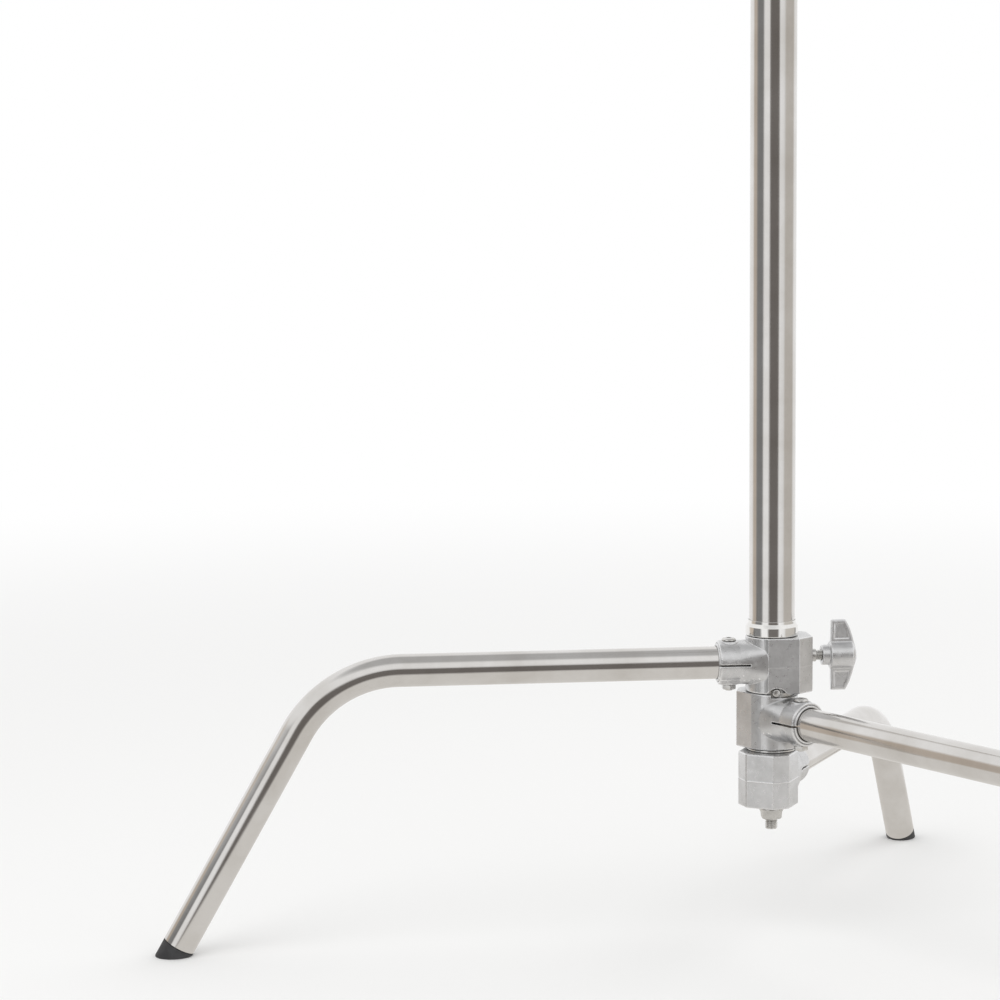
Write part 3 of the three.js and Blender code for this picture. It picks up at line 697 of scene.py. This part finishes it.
def bolt_pieces(prefix, height, azimuth, body):
    where = place(azimuth, height) @ Matrix.Rotation(DROOP, 4, "Y") @ Matrix.Translation((BOLT_AT, 0, 0))
    top = BOSS_TOP + 0.3
    head = fillet([(3, top), (5.5, top), (5.5, top + 0.9), (4.6, top + 1.9), (2.6, top + 2.25)], 0.5)
    key = [(1.75, top + 2.25, "hex", 2.02), (1.7, top + 0.7, "hex", 2.0)]
    rings = threaded(-21.6, -12, 3, pitch=1, depth=0.4, lead=0.8)
    rings += revolve([(3, -11.9), (3, top - 0.05)] + head + key, COARSE_RING)
    loft_piece(f"{prefix}_bolt_look", rings, False, where, body, "bolt_steel", [f"{prefix}_leg_bolt"])
    low, high = -20.6, -BOSS_TOP - 0.3
    points = [(3.35, low + 0.35), (3.8, low), (4.75, low, "hex", 4.9), (4.93, low + 0.5, "hex", 5.62),
              (4.93, high - 0.5, "hex", 5.62), (4.75, high, "hex", 4.9), (3.35, high)]
    loft_piece(f"{prefix}_nut_look", revolve(points), True, where, body, "bolt_steel",
               [f"{prefix}_leg_nut"])


def collar(prefix, height, azimuth, body, limits, face, ridge, sides, extra):
    low, high = limits[0] - height, limits[1] - height
    cast_piece(f"{prefix}_casting_look", leg_casting(low, high, face, ridge, sides, extra),
               (-face - 1, -22.3, low - 1), (SOCKET_MOUTH + 2, 22.3, high + 1),
               COLLAR_STEP, place(azimuth, height), body, [f"{prefix}_casting"])
    leg_piece(prefix, height, azimuth, body)
    bolt_pieces(prefix, height, azimuth, body)


collar("high", HIGH, HIGH_AZ, "base", TOP_BAND, TOP_FACE, 0.12, (6.5, 20.45), high_extra)
collar("mid", MID, MID_AZ, "mid_leg_body", MID_BAND, FACE, 0.05, (0, 19), mid_extra)
collar("low", LOW, LOW_AZ, "low_leg_body", LOW_BAND, FACE, 0.45, (3, 20.3), low_extra)

# ---------- post, nut, washer and pins ----------
ON_AXIS = place(0, 0)


def drill(obj, radius, azimuth, height):
    """A round hole through one side of the post's wall."""
    verts, faces = loft(along_x(revolve([(radius, 8), (radius, 24)], 32)), False)
    mesh = bpy.data.meshes.new("drill")
    mesh.from_pydata([tuple(v) for v in verts], [], faces)
    mesh.transform(place(azimuth, height))
    cutter = bpy.data.objects.new("drill", mesh)
    bpy.context.scene.collection.objects.link(cutter)
    modifier = obj.modifiers.new("hole", "BOOLEAN")
    modifier.operation, modifier.solver, modifier.object = "DIFFERENCE", "EXACT", cutter
    drilled = obj.evaluated_get(bpy.context.evaluated_depsgraph_get())
    made = bpy.data.meshes.new_from_object(drilled)
    obj.modifiers.clear()
    obj.data = made
    bpy.data.objects.remove(cutter)


def post_piece():
    """The cup that the castings turn on, with its threaded stud below, drilled for screw and pins."""
    cup = [(STUD_R, STUD_TOP + 0.3), (STUD_R, POST_BASE), (POST_R, POST_BASE), (POST_R, POST_TOP),
           (POST_BORE, POST_TOP), (POST_BORE, POST_FLOOR), (0.5, POST_FLOOR)]
    rings = threaded(STUD_END, STUD_TOP, STUD_R, pitch=1.5, depth=0.75, lead=1)
    rings += revolve(fillet(cup, 0.5), COARSE_RING)
    post = loft_piece("base_post_look", rings, False, ON_AXIS, "base", "bolt_steel", ["base_post"])
    drill(post, KNOB_HOLE_R, 0, KNOB_H)
    drill(post, STOP_PIN_R + PIN_GAP, PIN_AZ, STOP_PIN_H)
    drill(post, LOW_PIN_R + PIN_GAP, PIN_AZ, LOW_PIN_H)


def flange_nut_piece():
    """A hexagon below, a flange above it and a plain collar on top."""
    nut = [(5.2, 92.8), (5.9, 92), (7.1, 92, "hex", 7.5), (7.4, 92.8, "hex", 8.3),
           (7.7, 95.6, "hex", 8.5), (8.5, 97.2), (9.2, 98.4), (9.5, 99), (9.5, 100.1), (9.3, 100.5),
           (8.8, 100.7), (8.6, 100.9), (8.6, 103.8), (8.4, STUD_TOP), (5.2, STUD_TOP)]
    loft_piece("flange_nut_look", revolve(nut), True, ON_AXIS, "base", "bolt_steel", ["flange_nut"])


def stop_pin(cad, height, radius, tip):
    lathe(f"{cad}_look", [(0.01, 14.9), (radius, 14.9), (radius, tip - 1.2), (radius - 0.9, tip - 0.2),
                          (0.01, tip)], place(PIN_AZ, height), "base", "bolt_steel", [cad], soft=0.7,
          lying=True)


post_piece()
flange_nut_piece()
lathe("thrust_washer_look", [(HUB_BORE, WASHER[0]), (WASHER_R, WASHER[0]), (WASHER_R, WASHER[1]),
                             (HUB_BORE, WASHER[1])], ON_AXIS, "base", "chrome", ["thrust_washer"],
      closed=True)
stop_pin("mid_stop_pin", STOP_PIN_H, STOP_PIN_R, 20.3)
stop_pin("low_stop_pin", LOW_PIN_H, LOW_PIN_R, 18.5)


# ---------- knobs ----------
def knob_pieces(prefix, face, grip, height, azimuth, body):
    """A wing and its screw. face is where the boss ends and grip the radius of the tube it presses."""
    where = place(azimuth, height) @ Matrix.Translation((face, 0, 0))
    cast_piece(f"{prefix}_wing_look", wing_field, (KNOB_NECK - 0.5, -11.5, -WING - 1),
               (KNOB_END + 0.7, 11.5, WING + 1), WING_STEP, where, body, [f"{prefix}_knob_wing"])
    tip = grip + SHOE_GAP + SHOE_THICK + SCREW_GAP - face
    rings = threaded(tip, 1.1, SCREW_R, SCREW_PITCH, SCREW_DEPTH, 1)
    rings += revolve(fillet([(3.5, 1.15), (4.9, 1.3), (4.9, 4.4), (3.3, 5.2)], 0.5), COARSE_RING)
    rings += threaded(5.3, KNOB_BARREL + 10, SCREW_R, SCREW_PITCH, SCREW_DEPTH, 1)
    loft_piece(f"{prefix}_screw_look", along_x(rings), False, where, body, "bolt_steel",
               [f"{prefix}_knob_screw"])


knob_pieces("base", TOP_FACE, BASE_GRIP, KNOB_H, 0, "base_knob")
knob_pieces("column", RISER_1_R + CLAMP_FACE, RISER_1_R, COLUMN_CLAMP[3], 0, "column_knob")
knob_pieces("riser", RISER_2_R + CLAMP_FACE, RISER_2_R, RISER_CLAMP[3], 180, "riser_knob")

# ---------- ring, column, risers and clamps ----------
lathe("column_ring_look", [(14.3, 235.4), (20.2, 235.4), (20.2, 242.4), (18.3, 245.0), (18.1, 247.2),
                           (17.75, 247.2), (17.75, 239), (14.3, 239)], ON_AXIS, "ring", "chrome",
      ["column_ring"], closed=True, soft=0.9)
lathe("column_spigot_look", [(11, 122), (14, 122), (14, 150), (13.7, 150.4), (13.7, 152.6), (14, 153),
                             (14, COLUMN[0]), (15.7, COLUMN[0]), (15.7, 285), (11, 285)], ON_AXIS, "column",
      "bolt_steel", ["column_spigot"], closed=True)


def tube_piece(cad, radius, ends, body):
    """A tube with softly rolled ends, in short lengths so its lines follow it."""
    low, high = ends
    levels = [(radius, low + (high - low) * i / 24) for i in range(25)]
    profile = [(radius - 0.5, low)] + [(radius, low + 0.5)] + levels[1:-1]
    profile += [(radius, high - 0.5), (radius - 0.5, high), (radius - WALL, high), (radius - WALL, low)]
    lathe(f"{cad}_look", profile, ON_AXIS, body, "tube_steel", [cad], closed=True, soft=0)


def clamp_pieces(prefix, limits, below, above, azimuth, body):
    """A clamp casting, and the set screw that holds it on the tube below."""
    wide = below + 6
    cast_piece(f"{prefix}_clamp_look", clamp_field(*limits, below, above),
               (-wide, -wide, limits[0] - 1), (above + 13, wide, limits[2] + 1), CLAMP_STEP,
               place(azimuth, 0), body, [f"{prefix}_clamp"])
    grub = [(1, below + 2.2, "hex", 1.15), (1, below + 3.9, "hex", 1.15), (1.9, below + 3.9),
            (2, below + 3.6), (2, below + 0.5), (1.7, below + 0.3), (0.01, below + 0.3)]
    loft_piece(f"{prefix}_grub_look", along_x(revolve(grub, COARSE_RING)), False,
               place(azimuth + 180, limits[0] + GRUB_RISE), body, "bolt_steel",
               [f"{prefix}_clamp_grub"])


tube_piece("column_tube", COLUMN_R, COLUMN, "column")
tube_piece("riser_1_tube", RISER_1_R, RISER_1, "riser_1")
tube_piece("riser_2_tube", RISER_2_R, RISER_2, "riser_2")
clamp_pieces("column", COLUMN_CLAMP, COLUMN_R, RISER_1_R, 0, "column")
clamp_pieces("riser", RISER_CLAMP, RISER_1_R, RISER_2_R, 180, "riser_1")
lathe("top_stud_look", [(0.01, 1270), (10.7, 1270), (10.7, 1300.3), (12.5, 1300.3), (12.5, 1303.5),
                        (7.95, 1303.5), (7.95, 1323.5), (6.35, 1325.3), (6.35, 1332.7), (7.95, 1334.5),
                        (7.95, 1344), (7.0, 1345), (0.01, 1345)], ON_AXIS, "riser_2", "chrome",
      ["top_stud"], soft=0.7)
for cad, slot in (("base_shoe", "brass"), ("column_shoe", "brass"), ("riser_shoe", "brass"),
                  ("riser_1_bush", "nylon"), ("riser_2_bush", "nylon")):
    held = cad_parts[cad]
    held.data.materials.clear()
    held.data.materials.append(MATERIALS[slot])

# ---------- floor, light and camera ----------
CAMERA_AZ, PITCH, ROLL = rad(-5.56), rad(6.33), rad(-0.47)
TOWARDS = (math.sin(CAMERA_AZ), -math.cos(CAMERA_AZ))
LENS, SENSOR = 94.4, 36
CAMERA_BACK, CAMERA_RIGHT, CAMERA_HEIGHT = 1.985, 0.2074, 0.5607
FLOOR_HALF, FLOOR_GAP = 40, 0.0002


def floor_material():
    """A matt pale floor that fades to plain white far off. Metal sees it warmer and only near."""
    made = bpy.data.materials.new("pale_floor")
    made.use_nodes = True
    tree = made.node_tree
    tree.nodes.clear()
    out = node(tree, "ShaderNodeOutputMaterial")
    matt = node(tree, "ShaderNodeBsdfDiffuse", in_Color=(0.9, 0.9, 0.895, 1))
    far = node(tree, "ShaderNodeEmission", in_Color=(1, 1, 1, 1), in_Strength=1.0)
    coords = node(tree, "ShaderNodeTexCoord")
    length = node(tree, "ShaderNodeVectorMath", operation="LENGTH")
    link(tree, coords, "Object", length, 0)
    share = node(tree, "ShaderNodeMapRange", in_From_Min=0.9, in_From_Max=3.2)
    share.interpolation_type = "SMOOTHSTEP"
    link(tree, length, "Value", share, "Value")
    mix = node(tree, "ShaderNodeMixShader")
    link(tree, share, "Result", mix, "Fac")
    tree.links.new(matt.outputs[0], mix.inputs[1])
    tree.links.new(far.outputs[0], mix.inputs[2])
    path = node(tree, "ShaderNodeLightPath")
    away = node(tree, "ShaderNodeMapRange", in_From_Min=0.5, in_From_Max=0.75)
    link(tree, length, "Value", away, "Value")
    near = node(tree, "ShaderNodeEmission", in_Color=(0.8, 0.78, 0.75, 1))
    clear = node(tree, "ShaderNodeBsdfTransparent")
    mirrored = node(tree, "ShaderNodeMixShader")
    link(tree, away, "Result", mirrored, "Fac")
    tree.links.new(near.outputs[0], mirrored.inputs[1])
    tree.links.new(clear.outputs[0], mirrored.inputs[2])
    choose = node(tree, "ShaderNodeMixShader")
    link(tree, path, "Is Glossy Ray", choose, "Fac")
    tree.links.new(mix.outputs[0], choose.inputs[1])
    tree.links.new(mirrored.outputs[0], choose.inputs[2])
    link(tree, choose, "Shader", out, "Surface")
    return made


def make_floor():
    mesh = bpy.data.meshes.new("floor")
    corners = [(x * FLOOR_HALF, y * FLOOR_HALF, 0) for x, y in ((-1, -1), (1, -1), (1, 1), (-1, 1))]
    mesh.from_pydata(corners, [], [(0, 1, 2, 3)])
    mesh.materials.append(floor_material())
    floor = bpy.data.objects.new("floor", mesh)
    floor.location = (0, 0, GROUND - FLOOR_GAP)
    bpy.context.scene.collection.objects.link(floor)


def make_world():
    """A white studio, with the dark side behind the camera and softboxes beside it, as bands of
    light round the compass. The lens itself sees plain white."""
    world = bpy.data.worlds.new("studio")
    bpy.context.scene.world = world
    world.use_nodes = True
    tree = world.node_tree
    tree.nodes.clear()
    out = node(tree, "ShaderNodeOutputWorld")
    coords = node(tree, "ShaderNodeTexCoord")
    split = node(tree, "ShaderNodeSeparateXYZ")
    link(tree, coords, "Generated", split, "Vector")
    turned = node(tree, "ShaderNodeVectorRotate", rotation_type="Z_AXIS")
    turned.inputs["Angle"].default_value = -CAMERA_AZ
    link(tree, coords, "Generated", turned, "Vector")
    flat = node(tree, "ShaderNodeSeparateXYZ")
    link(tree, turned, "Vector", flat, "Vector")
    back = node(tree, "ShaderNodeMath", operation="MULTIPLY")
    back.inputs[1].default_value = -1
    link(tree, flat, "Y", back, 0)
    angle = node(tree, "ShaderNodeMath", operation="ARCTAN2")
    link(tree, flat, "X", angle, 0)
    link(tree, back, "Value", angle, 1)
    turn = node(tree, "ShaderNodeMapRange", in_From_Min=-math.pi, in_From_Max=math.pi)
    link(tree, angle, "Value", turn, "Value")
    bright, tan, dusk = grey(1), (0.6, 0.53, 0.46), grey(0.25)
    dark, mid = (0.19, 0.175, 0.165), (0.62, 0.59, 0.55)
    degrees = [(-180, bright), (-124, bright), (-113, tan), (-98, tan), (-87, dusk), (-58, dusk),
               (-50, bright), (-26, bright), (-19, dark), (20, dark), (28, bright), (50, grey(0.9)),
               (58, mid), (108, mid), (117, bright), (180, bright)]
    bands = ramp(tree, turn, [((d + 180) / 360, colour) for d, colour in degrees], "Result")
    height = ramp(tree, split, [(0, grey(0)), (0.26, grey(0)), (0.42, grey(1)), (1, grey(1))], "Z")
    sky = ramp(tree, split, [(0, grey(1)), (0.42, grey(1)), (0.8, grey(1)), (0.92, grey(0.55))], "Z")
    mix = node(tree, "ShaderNodeMix", data_type="RGBA")
    tree.links.new(sky.outputs["Color"], mix.inputs[7])
    tree.links.new(height.outputs["Color"], mix.inputs[0])
    tree.links.new(bands.outputs["Color"], mix.inputs[6])
    light = node(tree, "ShaderNodeBackground", in_Strength=1.0)
    tree.links.new(mix.outputs[2], light.inputs["Color"])
    seen = node(tree, "ShaderNodeBackground", in_Strength=1.0)
    seen.inputs["Color"].default_value = (1, 1, 1, 1)
    path = node(tree, "ShaderNodeLightPath")
    choose = node(tree, "ShaderNodeMixShader")
    link(tree, path, "Is Camera Ray", choose, "Fac")
    tree.links.new(light.outputs[0], choose.inputs[1])
    tree.links.new(seen.outputs[0], choose.inputs[2])
    link(tree, choose, "Shader", out, "Surface")


def make_light(name, at, aim, size, power):
    """A round lamp that lights the pieces but shows in no reflection."""
    data = bpy.data.lights.new(name, "AREA")
    data.shape, data.size, data.energy = "DISK", size, power
    lamp = bpy.data.objects.new(name, data)
    lamp.location = at
    lamp.rotation_mode = "QUATERNION"
    lamp.rotation_quaternion = (Vector(at) - Vector(aim)).to_track_quat("Z", "Y")
    lamp.visible_glossy = False
    bpy.context.scene.collection.objects.link(lamp)


def make_camera():
    data = bpy.data.cameras.new("camera")
    data.lens, data.sensor_width = LENS, SENSOR
    camera = bpy.data.objects.new("camera", data)
    side = (math.cos(CAMERA_AZ), math.sin(CAMERA_AZ))
    x, y = (t * CAMERA_BACK - s * CAMERA_RIGHT for t, s in zip(TOWARDS, side))
    camera.location = (x, y, GROUND + CAMERA_HEIGHT)
    camera.rotation_mode = "QUATERNION"
    camera.rotation_quaternion = (Matrix.Rotation(CAMERA_AZ, 3, "Z")
                                  @ Matrix.Rotation(math.pi / 2 - PITCH, 3, "X")
                                  @ Matrix.Rotation(ROLL, 3, "Z")).to_quaternion()
    bpy.context.scene.collection.objects.link(camera)
    bpy.context.scene.camera = camera


make_floor()
make_world()
make_light("softbox", (-1.3, -1.5, 2.8), (0, 0, 0.2), 2.4, 22)
make_light("fill", (1.8, 0.9, 2.6), (0, 0, 0.2), 2, 12)
make_camera()
bpy.context.scene.view_settings.view_transform = "Standard"
